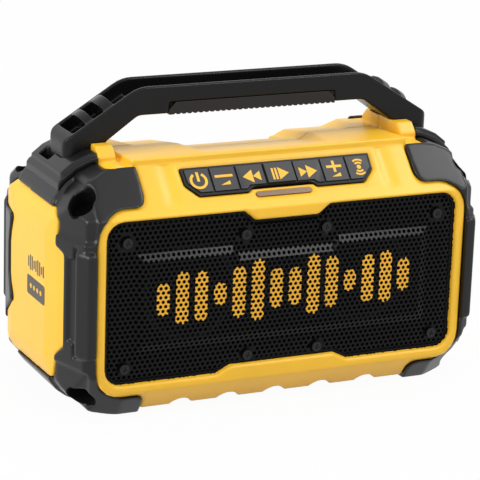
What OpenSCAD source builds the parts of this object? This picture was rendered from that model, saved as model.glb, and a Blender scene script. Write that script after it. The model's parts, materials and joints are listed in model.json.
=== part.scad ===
// Rugged portable speaker: two housing halves, rubber boots, carry handle, keypad, drivers and battery pack.
// The part stands on its boots with the origin under its middle, +Z up, and its front towards -Y.

/* [Body] */
// Width of the block that the boots wrap, which their end faces would reach
overall_w = 300; // [292:1:320]
// Depth over the rub bars
overall_d = 154; // [152:1:164]
// Height of the boots at the ledge beside the handle
body_h = 160; // [158:1:168]
// Radius of the upper corners in front view
end_r = 44; // [42:1:46]
// Radius of the lower corners in front view
foot_r = 33; // [31:1:36]
// Thickness of the rubber boots
boot_t = 4.5; // [4:0.1:5]
// How far the boots stand proud of the housing
boot_proud = 1.5; // [1.2:0.1:1.8]
// How far the rub bars stand proud of the boots
bar_proud = 1.5; // [1:0.1:2]
// Housing wall thickness
wall = 3; // [2.6:0.1:3.4]
// Height of the housing's flat base over the ground
base_gap = 3; // [2:0.5:4]

/* [Front] */
// Width of the yellow frame beside the grille opening
opening_side = 6.5; // [5.5:0.5:10]
// Height of the grille opening
opening_h = 107.5; // [104:0.5:109]
// Height of the opening's lower edge
opening_z = 23.5; // [22:0.5:25]
// Corner radius of the opening
opening_r = 11; // [8:0.5:14]
// Width of the boots beside the yellow frame
frame_side = 19.5; // [18:0.5:20.5]
// Reach of the boots' flaps over the top and the base
flap_l = 54; // [50:1:58]
// Depth of the seat that the grille rests on
grille_depth = 4; // [3.5:0.1:4.5]
// Thickness of the grille sheet
grille_t = 1.2; // [1:0.1:1.5]
// How far the grille's middle is embossed forwards
emboss = 2; // [1:0.1:2.2]
// Distance between neighbouring grille holes
hole_pitch = 7.4; // [7:0.1:9]
// Size of a grille hole over its corners
hole_d = 5; // [4:0.1:5.4]

/* [Control panel] */
// Tilt of the control panel from level
panel_tilt = 45.5; // [44:0.5:47]
// Depth that the control panel takes up
slope_run = 26.5; // [25.5:0.5:28]
// Length of the key strip
strip_l = 134; // [128:1:140]
// Height of the key strip along the panel
strip_h = 20.4; // [19.6:0.2:21]
// Height of a key over the strip
key_proud = 0.9; // [0.6:0.1:1.2]
// Travel of a key
key_travel = 0.8; // [0.4:0.1:1]
// Gap around a key
key_gap = 0.35; // [0.25:0.05:0.45]

/* [Handle] */
// Height of the handle over the boots' ledge
handle_rise = 42; // [38:1:50]
// Depth of the handle
handle_d = 32; // [28:1:34]
// Height of the handle's beam
grip_h = 18.5; // [17:0.5:21]
// Reach of a sloping leg along the width
leg_run = 50; // [47:1:55]
// Distance of the handle's feet from the ends
foot_side = 19; // [17:0.5:21]
// Thickness of the handle's side walls
handle_wall = 3.2; // [2.6:0.2:4]
// Bare length of the beam beside the rubber grip
grip_end = 21; // [17:1:31]
// Height of the collars over the boots
collar_rise = 6; // [4:0.5:7]

/* [Drivers] */
// Distance of a driver's axis from the end of the opening
driver_side = 62; // [58:1:64]
// Height of the drivers
driver_z = 77; // [75:1:79]
// Outer radius of a driver's flange
flange_r = 41; // [39:0.5:42]
// Radius of the driver holes in the baffle
baffle_hole_r = 34; // [33.5:0.5:35]
// Voice coil radius
coil_r = 8.7; // [8:0.1:9]
// Travel of a cone each way
cone_travel = 1.5; // [0.5:0.1:2]

/* [Battery] */
// Width of the battery pack
pack_w = 74; // [70:1:76]
// Height of the battery pack
pack_h = 86; // [84:1:88]
// Distance that the pack slides up
pack_travel = 75; // [40:1:90]
// Depth of the bay in the back
bay_depth = 49; // [48:0.5:50]
// Radius of a cell
cell_r = 9; // [8:0.1:9.1]
// Travel of the latch button
latch_travel = 4; // [2:0.5:5]

/* [Fasteners] */
// Shank radius of the grille screws
grille_screw_r = 1.5; // [1.2:0.1:1.8]
// Shank radius of the housing screws
housing_screw_r = 1.6; // [1.4:0.1:2]
// Shank radius of the handle screws
handle_screw_r = 2; // [1.6:0.1:2.2]

/* [Clearances] */
// Gap between a boot or panel and the housing under it
fit = 0.2; // [0.15:0.05:0.3]
// Gap around pieces that slide
slide_gap = 0.4; // [0.3:0.05:0.5]
// Gap between a screw and its hole
screw_gap = 0.05; // [0.03:0.01:0.1]

/* [Hidden] */
$fn = 48;

yellow = [0.96, 0.74, 0.10];
rubber = [0.24, 0.24, 0.26];
black = [0.11, 0.11, 0.12];
steel = [0.62, 0.62, 0.65];
board_green = [0.10, 0.35, 0.20];

// Envelope of the boots
half_w = overall_w / 2;
half_d = overall_d / 2 - bar_proud;
slope_top_y = half_d - slope_run;
slope_foot_z = body_h - slope_run * tan(panel_tilt);
rear_top_y = 33;
rear_foot_z = body_h - (half_d - rear_top_y) * tan(panel_tilt);
base_run = 13.5;
base_rise = 18;
plan_front_in = 19;
plan_corner_in = 11.5;
plan_corner_back = 4;
plan_side_in = 3;
plan_side_back = 31.5;
plan_flat_back = 47.5;
plan_rear_side = 50;
plan_rear_flat = 34;
core = boot_t + fit;
cavity = boot_t + wall;
far = 400;

// Facets across the corners: the front upper, front lower and rear upper one of an end
facet_at = [[half_w - 12.9, -half_d + 12.3, body_h - 20.7], [half_w - 11.4, -half_d + 16.4, 14.2],
    [half_w - 5.9, half_d - 28.5, body_h - 22]];
facet_dir = [[0.61, -0.42, 0.67], [0.37, -0.74, -0.56], [0.76, 0.30, 0.58]];

// Lashing holes of an end: front upper, front lower, rear upper and rear lower
lash_at = [[half_w - 15.4, -half_d + 19, body_h - 17.7], [half_w - 15.2, -half_d + 18.3, 11.7],
    [half_w - 15.4, half_d - 31.5, body_h - 15], [half_w - 14, half_d - 15.5, 7]];
lash_dir = [[0.38, -0.28, 0.88], [0.55, -0.36, -0.75], [0.38, 0.28, 0.88], [0.55, 0.36, -0.75]];
lash_r = 9;
lash_depth = 12;
lining = 1.5;

// Relief of the boots
relief = 2.2;
plate_x = half_w - 19;
plate_y = 32;
plate_z = body_h - 41.5;
low_plate_x = half_w - 22;
low_plate_top_x = half_w - 14.5;
low_plate_z = 34.5;
bar_z0 = 43;
bar_z1 = body_h - 47;
bar_groove = 1.4;

// Front frame and grille
frame_w = overall_w - 2 * frame_side;
opening_w = frame_w - 2 * opening_side;
flap_x = half_w - flap_l;
window_z0 = 14.5;
window_z1 = slope_foot_z + 5.5;
window_r = 20;
flap_r = 6;
front_y = -(half_d - boot_proud);
opening_top = opening_z + opening_h;
seat_y = front_y + grille_depth;
seat_w = 3.5;
edge_step = 0.7;
baffle_front = seat_y + 4;
baffle_back = baffle_front + wall;
grille_screw_at = [for (s = [-1, 1]) each [
    [s * (opening_w / 2 - 14), opening_top - 14], [s * 28.5, opening_top - 15.7],
    [s * (opening_w / 2 - 13.5), opening_z + 10.5], [s * 25, opening_z + 10.5]]];
grille_boss_r = 4;
screw_head_h = 1.4;
emboss_half_w = opening_w / 2 - 20;
emboss_z0 = opening_z + 20.5;
emboss_z1 = opening_top - 22;
emboss_dip = 5;
emboss_dip_half = 34;

// Deck behind the control panel
lip_h = 5;
lip_x = flap_x + 3;
lip_back_x = flap_x;
deck_slope = 3.7;
trough_tilt = 10.7;
trough_x = lip_back_x - 2;
ledge_y = slope_top_y - boot_proud;
rear_ledge_y = rear_top_y - boot_proud;
saddle_in = flap_x + 6;
saddle_half_d = 31;
saddle_rear_d = rear_ledge_y - flap_r - 0.5;
saddle_z = body_h + 8;
saddle_bevel = 6;
toe_y = -46;
toe_z = 12;
groove_r = 9;
groove_z = base_gap + 4;
groove_pitch = 33.5;

// Handle
handle_h = body_h + handle_rise;
grip_z = handle_h - grip_h;
foot_out = half_w - foot_side;
foot_in = foot_out - 19;
saddle_out = foot_in + 2.3;
handle_top = foot_out - leg_run;
grip_half = handle_top - grip_end;
foot_z = body_h - 20;
foot_corner_r = 6;
leg_foot_z = handle_h - 31.5;
leg_in_x = foot_in - 5;
leg_in_z = body_h + 5;
grip_in = handle_top;
channel_z = grip_z + 5.5;
leg_channel = 9.5;
leg_pockets = [[-5, 19.5], [27, 35.5], [41.5, 51.5]];
leg_fins = [[19.5, 27], [35.5, 41.5]];
fin_rise = 3.5;
fin_r = 25;
grip_t = 1.8;
grip_proud = 1;
grip_bevel = 5;
grip_top_z = grip_z + 7.5;
rib_pitch = 4;
rib_w = 1.6;
rib_depth = 0.8;
collar_half_d = 31;
collar_rear_d = 28;
collar_out = half_w - 9;
collar_step = 2.5;
collar_pocket = [foot_out - 1, 0, body_h - 11];
collar_pocket_end = [foot_out + 5.5, handle_d / 2 + 1];
collar_z = body_h - 20;
screw_foot_y = 9;
foot_mid = (foot_in + foot_out) / 2;

// Control panel
panel_mid_v = slope_run / cos(panel_tilt) / 2;
strip_offset = 5.5;
strip_taper = 8.6;
strip_taper_h = 8.4;
notch_half = 22;
notch_h = 2.4;
key_count = 7;
key_edges = [-strip_l / 2 + 1.2, -48.2, -30.2, -10.5, 10.5, 30.2, 48.2, strip_l / 2 - 1.2];
strip_rim = 1.2;
tray_flange_t = 1.8;
tray_flange_out = 2;
tray_proud = 0.4;
stem_r = 2.2;
stem_reach = wall + tray_flange_t + 0.7;
switch_size = 6;
switch_h = 2.2;
plunger_r = 1.6;
board_t = 1.6;
plunger_top = -(stem_reach + key_travel + 0.1);
board_top = plunger_top - switch_h;
window_half = 19.5;
window_h = 3.4;
window_v = -strip_h / 2 - 2.1;
panel_recess = 0.8;
recess_border = 2;

// Drivers
driver_x = opening_w / 2 - driver_side;
gasket_t = 1;
flange_t = 2;
basket_depth = 22;
basket_back_r = 24;
magnet_r = 22;
magnet_t = 14;
magnet_gap_r = coil_r + 0.5;
pole_r = coil_r - 1.7;
coil_t = 1.2;
cone_r = baffle_hole_r - 5.5;
driver_pcd_r = flange_r - 3;

// Battery bay, dock and pack
bay_half_w = pack_w / 2 + 4;
bay_front = half_d - boot_proud - bay_depth;
bay_floor = 27;
pack_z = bay_floor + 3;
pack_front = bay_front + 4;
pack_back = half_d - boot_proud - 0.8;
dock_t = 3;
dock_half_w = 30;
rail_x = 22;
rail_stem = 3;
rail_head = 6;
rail_reach = 3.4;
rail_head_t = 2.5;
rail_h = pack_h - 8;
dock_lift = 2;
dock_stop_d = 14;
blade_at = [-9, -3, 3, 9];
blade_t = 0.8;
blade_reach = 6;
blade_z0 = 30;
blade_z1 = 54;
latch_half_w = 12.6;
latch_h = 11.2;
latch_z = pack_z + pack_h - 16;
latch_depth = 12;
latch_proud = 1.2;
spring_r = 4;
cell_l = 65;
cell_pitch = 2 * cell_r + 1.5;
cell_row_y = pack_front + 8 + cell_r;
cell_row_gap = 16;

// Sockets on the back
port_x = -bay_half_w - 33;
port_z = 72;
port_half_w = 18;
port_half_h = 14;
port_depth = 7;
port_cover_t = 1.7;
port_hinge_in = 1.8;
aux_r = 5;
dc_r = 6;
jack_spread = 8.5;
jack_depth = 9;

// Fixings
housing_screw_at = [for (s = [-1, 1]) each [
    [s * (half_w - 31), 32], [s * (half_w - 31), body_h - 40], [s * 60, 13]]];
housing_boss_r = 4.5;
head_scale = 2;
counterbore = 10;
housing_screw_tip = -14;
housing_head_h = 2.4;
handle_screw_seat = 17;
handle_screw_reach = 5;
handle_head_h = 2.5;
seal_w = 1.4;
seal_inset = core + 0.5;
seal_half_t = 0.9;
seam_rib_half = 4;
seam_rib_drop = 14;
main_board_y = 9.6;
main_board_half_w = 70;
main_board_z0 = 40;
main_board_z1 = 125;
board_boss_at = [[-36, 50], [36, 50], [-36, 112], [36, 112]];
board_screw_l = 6;
small_head_h = 1.6;

// Parts on the main board, each with two corners and a height: amplifier, filter coils, radio, plugs
board_parts = [[-20, 66, 20, 96, 4], [-58, 70, -46, 82, 9], [-42, 70, -30, 82, 9], [42, 92, 66, 114, 3],
    [-64, 46, -40, 54, 8], [-62, 108, -46, 116, 8]];
sink_fin_at = [-18, -12, -6, 0, 6, 12, 18];
sink_fin_t = 2;
sink_h = 14;
capacitor_at = [[48, 60], [62, 60]];
capacitor_r = 6;
capacitor_h = 16;

// Plane geometry
function unit(v) = v / norm(v);
function left_normal(a, b) = let (d = unit(b - a)) [-d[1], d[0]];
function inset_corner(a, b, c, d) =
    let (n1 = left_normal(a, b), n2 = left_normal(b, c))
    b + (n1 + n2) * d / (1 + n1 * n2);
function around(pts, i) = pts[(i + len(pts)) % len(pts)];
function inset(pts, d) =
    [for (i = [0 : len(pts) - 1]) inset_corner(around(pts, i - 1), pts[i], around(pts, i + 1), d)];
function turn(a) = a > 180 ? a - 360 : a < -180 ? a + 360 : a;
function arc_corner(a, b, c, r, steps) =
    let (u = unit(a - b), v = unit(c - b), half = acos(u * v) / 2)
    let (centre = b + unit(u + v) * r / sin(half))
    let (s = b + u * r / tan(half) - centre, e = b + v * r / tan(half) - centre)
    let (a0 = atan2(s[1], s[0]), sweep = turn(atan2(e[1], e[0]) - a0))
    [for (k = [0 : steps]) centre + r * [cos(a0 + sweep * k / steps), sin(a0 + sweep * k / steps)]];
function rounded(pts, radii, steps = 4) =
    [for (i = [0 : len(pts) - 1])
        let (r = is_list(radii) ? radii[i] : radii)
        each r > 0 ? arc_corner(around(pts, i - 1), pts[i], around(pts, i + 1), r, steps) : [pts[i]]];
function rect(x0, y0, x1, y1) = [[x0, y0], [x1, y0], [x1, y1], [x0, y1]];
function flip_x(pts) = [for (i = [len(pts) - 1 : -1 : 0]) [-pts[i][0], pts[i][1]]];

// Outlines of the envelope, from which every shell is inset
side_profile = [[-(half_d - base_run), 0], [half_d - base_run, 0], [half_d, base_rise],
    [half_d, rear_foot_z], [rear_top_y, body_h], [-slope_top_y, body_h], [-half_d, slope_foot_z],
    [-half_d, base_rise]];
plan_quarter = [[half_w - plan_front_in, -half_d], [half_w - plan_corner_in, -half_d + plan_corner_back],
    [half_w - plan_side_in, -half_d + plan_side_back], [half_w, -half_d + plan_flat_back]];
plan_back = [[half_w, plan_rear_flat], [half_w - plan_side_in, plan_rear_side],
    [half_w - plan_corner_in, half_d - plan_corner_back], [half_w - plan_front_in, half_d]];
plan_profile = concat(plan_quarter, plan_back, flip_x(concat(plan_quarter, plan_back)));
function front_profile(g) =
    rounded(rect(-half_w + g, g, half_w - g, body_h - g), [foot_r - g, foot_r - g, end_r - g, end_r - g], 6);

// Outline of the grille opening, with a trapezoid notch in its upper and its lower edge
opening_outline = [[-opening_w / 2, opening_z], [-47, opening_z], [-37, opening_z + 5], [37, opening_z + 5],
    [47, opening_z], [opening_w / 2, opening_z], [opening_w / 2, opening_top], [30, opening_top],
    [22, opening_top - 6.5], [-22, opening_top - 6.5], [-30, opening_top], [-opening_w / 2, opening_top]];
function opening(g) =
    rounded(inset(opening_outline, g), [opening_r - g, 3, 3, 3, 3, opening_r - g, opening_r - g, 3, 3, 3, 3,
        opening_r - g]);

// Outline of the dish in the deck, seen from the front, with a raised floor towards its ends
trough_half = [[trough_x - 51, 0], [trough_x - 45, 4.5], [trough_x - 17, 4.5], [trough_x, 13],
    [trough_x, 60]];
trough_outline = concat(trough_half, flip_x(trough_half));

// Outline of the panel let into an end, seen from the left, front towards negative
panel_top = body_h - 26;
panel_outline = [[-31, 19.5], [40, 17], [50, 25], [50.5, 40], [29.5, 54], [37.5, 70], [37.5, panel_top - 42],
    [29.5, panel_top - 21.5], [50.5, panel_top - 21.5], [50.5, panel_top - 10], [36, panel_top],
    [-34, panel_top - 0.5], [-43, panel_top - 7.5], [-41.5, panel_top - 23], [-51, panel_top - 27],
    [-51, 46.5], [-42, 38.5], [-38.5, 22.5]];

// Outline of the key strip, along the panel
strip_outline = [[-strip_l / 2 + strip_taper, -strip_h / 2], [-notch_half - notch_h, -strip_h / 2],
    [-notch_half, -strip_h / 2 + notch_h], [notch_half, -strip_h / 2 + notch_h],
    [notch_half + notch_h, -strip_h / 2], [strip_l / 2 - strip_taper, -strip_h / 2],
    [strip_l / 2 - 0.6, -strip_h / 2 + strip_taper_h], [strip_l / 2, strip_h / 2],
    [-strip_l / 2, strip_h / 2], [-strip_l / 2 + 0.6, -strip_h / 2 + strip_taper_h]];

// Outline of the handle
handle_outline = [[foot_in, foot_z], [foot_out, foot_z], [foot_out, leg_foot_z], [handle_top, handle_h],
    [-handle_top, handle_h], [-foot_out, leg_foot_z], [-foot_out, foot_z], [-foot_in, foot_z],
    [-foot_in, leg_in_z], [-leg_in_x, leg_in_z], [-grip_in, grip_z], [grip_in, grip_z],
    [leg_in_x, leg_in_z], [foot_in, leg_in_z]];
handle_radii = [0, 0, 7, 24, 24, 7, 0, 0, 0, 6, 9, 9, 6, 0];

// Outline of a rub bar in plan
bar_outline = [[half_w - plan_front_in, -half_d + 5], [half_w - plan_front_in, -half_d - bar_proud],
    [half_w - 13, -half_d - bar_proud], [half_w - 7.5, -half_d + 8.5], [half_w - 9.5, -half_d + 13.5]];

// Extrusions along the axes
module along_x(l) {
    rotate([90, 0, 90]) linear_extrude(l, center = true) children();
}

module between_x(x0, x1) {
    translate([x0, 0, 0]) rotate([90, 0, 90]) linear_extrude(x1 - x0) children();
}

module between_y(y0, y1) {
    translate([0, y1, 0]) rotate([90, 0, 0]) linear_extrude(y1 - y0) children();
}

module span(x0, y0, z0, x1, y1, z1) {
    translate([x0, y0, z0]) cube([x1 - x0, y1 - y0, z1 - z0]);
}

module rod_y(x, z, y0, y1, r) {
    translate([x, y1, z]) rotate([90, 0, 0]) cylinder(h = y1 - y0, r = r);
}

module rod_z(x, y, z0, z1, r) {
    translate([x, y, z0]) cylinder(h = z1 - z0, r = r);
}

module both_sides() {
    children();
    mirror([1, 0, 0]) children();
}

module front_and_back() {
    children();
    mirror([0, 1, 0]) children();
}

// Stands children on the control panel, with their Z axis out of it and Y up the slope
module on_panel() {
    translate([0, front_y, slope_foot_z - boot_proud * tan(panel_tilt / 2)]) rotate([panel_tilt, 0, 0])
        translate([0, panel_mid_v + strip_offset - boot_proud, 0]) children();
}

// Turns children's Z axis into a direction
module towards(dir) {
    rotate([0, acos(dir[2] / norm(dir)), atan2(dir[1], dir[0])]) children();
}

// The block that the three outlines leave, shrunk by g
module block(g) {
    intersection() {
        along_x(2 * half_w + 2) polygon(inset(side_profile, g));
        between_y(-far / 2, far / 2) polygon(front_profile(g));
        linear_extrude(far) polygon(inset(plan_profile, g));
    }
}

// The envelope of the boots, shrunk by g: the block with its corners faceted
module envelope(g) {
    difference() {
        block(g);
        both_sides() for (i = [0 : len(facet_at) - 1])
            translate(facet_at[i]) towards(facet_dir[i]) translate([-40, -40, -g]) cube(80);
    }
}

// What the boots leave bare, shrunk by g
module bare_window(g) {
    polygon(rounded(rect(-frame_w / 2 + g, window_z0 + g, frame_w / 2 - g, window_z1 - g), window_r - g, 5));
    polygon(rect(-flap_x + g, -1, flap_x - g, body_h + 1));
    for (s = [-1, 1])
        for (e = [[window_z1 - g, 1], [window_z0 + g, -1]])
            translate([s * (flap_x - g), e[0]]) scale([s, e[1]])
                difference() {
                    square(flap_r);
                    translate([flap_r, flap_r]) circle(flap_r);
                }
}

module bare(g) {
    between_y(-far / 2, far / 2) bare_window(g);
    translate([0, 0, body_h - 12]) linear_extrude(20)
        polygon(rounded(rect(-saddle_out + g, -ledge_y + g, saddle_out - g, rear_ledge_y - g), flap_r));
}

// Round bores at the corners of one end, for lashing straps and hooks
module lash_bores(r, depth) {
    for (i = [0 : len(lash_at) - 1])
        translate(lash_at[i]) towards(lash_dir[i]) translate([0, 0, -depth]) cylinder(h = depth + 40, r = r);
}

// Tilted dish in the deck that leaves room for the fingers
module trough(drop) {
    translate([0, -slope_top_y + 5, body_h - boot_proud + lip_h - drop]) rotate([-trough_tilt, 0, 0])
        between_y(-0.5, 2 * half_d)
            polygon(trough_outline);
}

module deck() {
    lip_z = body_h - boot_proud + lip_h;
    intersection() {
        along_x(2 * lip_x + 2)
            polygon([[-ledge_y, body_h - 12], [rear_ledge_y, body_h - 12],
                [rear_ledge_y, lip_z - (ledge_y + rear_ledge_y) * tan(deck_slope)], [-ledge_y, lip_z]]);
        linear_extrude(far)
            polygon(rounded([[-lip_x, -slope_top_y], [lip_x, -slope_top_y], [lip_back_x, rear_top_y],
                [-lip_back_x, rear_top_y]], 6));
    }
}

module saddles() {
    both_sides() between_x(saddle_in, saddle_out - fit)
        polygon([[-saddle_half_d, body_h - 12], [saddle_rear_d, body_h - 12],
            [saddle_rear_d, saddle_z - saddle_bevel], [saddle_rear_d - saddle_bevel, saddle_z],
            [-saddle_half_d + saddle_bevel, saddle_z], [-saddle_half_d, saddle_z - saddle_bevel]]);
}

// Both housing halves as one closed body
module housing_outside() {
    envelope(core);
    // The bare faces, with a step along their edges
    for (k = [0, 1])
        intersection() {
            block(boot_proud + k * edge_step);
            bare(fit + (1 - k) * 2 * edge_step);
            span(-half_w, -half_d, base_gap, half_w, half_d, body_h);
        }
    deck();
    saddles();
}

module housing_cavity() {
    difference() {
        union() {
            envelope(cavity);
            intersection() {
                envelope(boot_proud + wall);
                span(-flap_x + 2 * wall, -far, base_gap + wall, flap_x - 2 * wall, far, far);
            }
        }
        trough(wall + 0.5);
        // Solid front frame with the baffle, and the toe under it
        span(-half_w, -half_d, -1, half_w, baffle_back, opening_top + seat_w);
        span(-half_w, -half_d, -1, half_w, toe_y, toe_z);
        // Walls of the battery bay and the socket recess
        span(-bay_half_w - wall, bay_front - wall, bay_floor - wall, bay_half_w + wall, far, far);
        span(port_x - port_half_w - wall, half_d - boot_proud - port_depth - wall,
            port_z - port_half_h - wall, port_x + port_half_w + wall, far, port_z + port_half_h + wall);
        // Rib under the deck that the seal lies in
        span(-trough_x, -seam_rib_half, body_h - seam_rib_drop, trough_x, seam_rib_half, far);
        // Bosses
        both_sides() lash_bores(lash_r + lining + wall, lash_depth + lining + wall);
        for (p = housing_screw_at)
            rod_y(p[0], p[1], -half_d, half_d, housing_boss_r);
        both_sides() front_and_back()
            rod_z(foot_mid, screw_foot_y, body_h - handle_screw_seat, body_h, 3 * handle_screw_r);
    }
}

module housing_shell() {
    difference() {
        housing_outside();
        housing_cavity();
    }
}

// Cuts that run over both halves
module shared_cuts() {
    trough(0);
    handle_blank(fit);
    both_sides() {
        front_and_back()
            rod_z(foot_mid, screw_foot_y, body_h - handle_screw_seat - 3, body_h,
                handle_screw_r + screw_gap);
        lash_bores(lash_r + lining + fit, lash_depth + lining + fit);
    }
    seal_ring(0.15);
    for (p = housing_screw_at)
        rod_y(p[0], p[1], housing_screw_tip - 2, half_d, housing_screw_r + screw_gap);
}

module front_cuts() {
    // Seat of the grille, with a boss left standing for each screw
    between_y(-half_d - 1, seat_y) polygon(opening(0));
    for (k = [1, 2])
        between_y(-half_d - 1, front_y + (3 - k) * edge_step) polygon(opening(-k * edge_step));
    difference() {
        between_y(seat_y - 1, baffle_front) polygon(opening(seat_w));
        for (p = grille_screw_at)
            rod_y(p[0], p[1], seat_y - 2, baffle_front + 1, grille_boss_r);
    }
    for (p = grille_screw_at)
        rod_y(p[0], p[1], seat_y - 1, baffle_back - 1, grille_screw_r + screw_gap);
    for (s = [-1, 1]) {
        rod_y(s * driver_x, driver_z, seat_y, baffle_back + 1, baffle_hole_r);
        for (a = [45 : 90 : 315])
            rod_y(s * driver_x + driver_pcd_r * cos(a), driver_z + driver_pcd_r * sin(a),
                baffle_front + 0.5, baffle_back + 1, grille_screw_r + screw_gap);
    }
    // Key strip and light window, in a shallow recess
    on_panel() {
        for (k = [[-wall - 1, fit], [-panel_recess, recess_border]])
            translate([0, 0, k[0]]) {
                linear_extrude(20) polygon(inset(strip_outline, -k[1]));
                linear_extrude(20) polygon(window_shape(-k[1]));
            }
    }
    // Rounded grooves under the front edge
    for (x = [-2 : 2])
        rod_y(x * groove_pitch, groove_z - groove_r, -half_d - 1, toe_y - wall, groove_r);
}

module rear_cuts() {
    span(-bay_half_w, bay_front, bay_floor, bay_half_w, far, far);
    span(port_x - port_half_w, half_d - boot_proud - port_depth, port_z - port_half_h,
        port_x + port_half_w, far, port_z + port_half_h);
    rod_y(port_x - jack_spread, port_z, half_d - 20, half_d, aux_r + fit);
    rod_y(port_x + jack_spread, port_z, half_d - 20, half_d, dc_r + fit);
    for (p = housing_screw_at)
        rod_y(p[0], p[1], half_d - boot_proud - counterbore, half_d + 1, head_scale * housing_screw_r + 0.3);
}

module seal_ring(g) {
    between_y(-seal_half_t - g, seal_half_t + g)
        difference() {
            polygon(front_profile(seal_inset - g));
            polygon(front_profile(seal_inset + seal_w + g));
        }
}

module front_housing() {
    color(yellow) difference() {
        housing_shell();
        span(-half_w - 1, 0, -1, half_w + 1, far, far);
        shared_cuts();
        front_cuts();
    }
}

module rear_housing() {
    color(yellow) difference() {
        union() {
            difference() {
                housing_shell();
                span(-half_w - 1, -far, -1, half_w + 1, 0, far);
                shared_cuts();
                rear_cuts();
            }
            // Posts of the main board, on the wall of the bay
            for (p = board_boss_at)
                rod_y(p[0], p[1], main_board_y, bay_front - wall / 2, 4);
        }
        for (p = board_boss_at)
            rod_y(p[0], p[1], main_board_y - 1, main_board_y + 7, grille_screw_r + screw_gap);
    }
}

module housing_seal() {
    color(black) seal_ring(0);
}

// One end, drawn on the right
module end_panel() {
    color(yellow) difference() {
        intersection() {
            envelope(boot_proud);
            between_x(half_w - 45, half_w) polygon(rounded(inset(panel_outline, fit), 3));
        }
        envelope(boot_t);
    }
}

module right_end_panel() {
    end_panel();
}

module left_end_panel() {
    mirror([1, 0, 0]) end_panel();
}

// Rub bar with stepped ends
module rub_bar() {
    for (k = [0, 1])
        translate([0, 0, bar_z0 + k * bar_proud]) linear_extrude(bar_z1 - bar_z0 - 2 * k * bar_proud)
            polygon(inset(bar_outline, (1 - k) * bar_proud / 2));
}

// Where the boot's face lies lower: corner plates, a strip by the end panel and a channel round the bar
module boot_relief() {
    between_y(-far, -plate_y)
        polygon(rounded([[plate_x, plate_z], [far, plate_z], [far, far], [plate_x, far]], [4, 0, 0, 0]));
    between_y(-far, -plate_y)
        polygon(rounded([[low_plate_x, -1], [far, -1], [far, low_plate_z], [low_plate_top_x, low_plate_z]],
            [0, 0, 0, 3]));
    span(half_w - 20, -half_d + 9.5, bar_z0 + 8.5, far, -half_d + 20.5, bar_z1 - 7);
    translate([0, 0, bar_z0 - bar_groove]) linear_extrude(bar_z1 - bar_z0 + 2 * bar_groove)
        polygon(inset(bar_outline, -bar_groove));
}

module boot_skin() {
    difference() {
        union() {
            difference() {
                envelope(0);
                difference() {
                    front_and_back() boot_relief();
                    envelope(relief);
                }
            }
            front_and_back() rub_bar();
        }
        envelope(boot_t);
    }
}

module bumper() {
    color(rubber) difference() {
        union() {
            boot_skin();
            // Cups that line the lashing holes
            intersection() {
                envelope(boot_t - 1);
                lash_bores(lash_r + lining, lash_depth + lining);
            }
        }
        span(-far, -far, -1, flap_x - 1, far, far);
        bare(0);
        between_x(half_w - 45, far) polygon(rounded(panel_outline, 3));
        lash_bores(lash_r, lash_depth);
        handle_blank(fit);
        span(-far, -far, -far, far, far, 0);
    }
}

module right_bumper() {
    bumper();
}

module left_bumper() {
    mirror([1, 0, 0]) bumper();
}

// Collar round a handle foot, with a stepped upper edge and a pocket beside the foot
module handle_collar() {
    color(rubber) difference() {
        for (k = [0, 1])
            intersection() {
                envelope(k * collar_step - collar_rise);
                span(saddle_out, -collar_half_d + (1 - k) * collar_step, collar_z,
                    collar_out - (1 - k) * collar_step, collar_rear_d - (1 - k) * collar_step, far);
            }
        envelope(-fit / 2);
        handle_blank(fit);
        span(collar_pocket[0], collar_pocket[1], collar_pocket[2], collar_pocket_end[0],
            collar_pocket_end[1], far);
    }
}

module right_handle_collar() {
    handle_collar();
}

module left_handle_collar() {
    mirror([1, 0, 0]) handle_collar();
}

// The handle's outer form, grown by g, cut to sit on the housing's core
module handle_blank(g) {
    difference() {
        intersection() {
            between_y(-handle_d / 2 - g, handle_d / 2 + g)
                polygon(rounded(inset(handle_outline, -g), handle_radii));
            linear_extrude(far)
                polygon(rounded(rect(-foot_out - g, -handle_d / 2 - g, foot_out + g, handle_d / 2 + g),
                    foot_corner_r + g));
        }
        envelope(core - fit / 2);
    }
}

// Lays children's X axis down the right leg, from the end of the grip
module on_leg() {
    translate([handle_top, 0, handle_h])
        rotate([0, atan2(handle_h - leg_foot_z, foot_out - handle_top), 0]) children();
}

// Arched top of a fin across the leg's channel
module fin_arch(from, to) {
    half = handle_d / 2 - handle_wall;
    intersection() {
        rotate([0, 90, 0]) translate([fin_r - fin_rise, 0, from]) cylinder(h = to - from, r = fin_r);
        translate([from, -half, -2]) cube([to - from, 2 * half, 10]);
    }
}

module handle() {
    half = handle_d / 2 - handle_wall;
    color(black) difference() {
        union() {
            difference() {
                handle_blank(0);
                // Open channel over the grip, and pockets down the legs
                span(-handle_top, -half, channel_z, handle_top, half, far);
                both_sides() on_leg() for (k = leg_pockets)
                    translate([0, 0, -leg_channel]) linear_extrude(30)
                        polygon(rounded(rect(k[0], -half, k[1], half), 1));
            }
            both_sides() on_leg() for (k = leg_fins)
                fin_arch(k[0], k[1]);
        }
        both_sides() front_and_back()
            rod_z(foot_mid, screw_foot_y, foot_z, body_h + handle_screw_reach + 1,
                handle_screw_r + screw_gap);
        // Recess for the rubber grip
        difference() {
            span(-grip_half, -far, 0, grip_half, far, grip_top_z);
            span(-far, -handle_d / 2 + grip_t, grip_z + grip_t, far, handle_d / 2 - grip_t, far);
        }
    }
}

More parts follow.
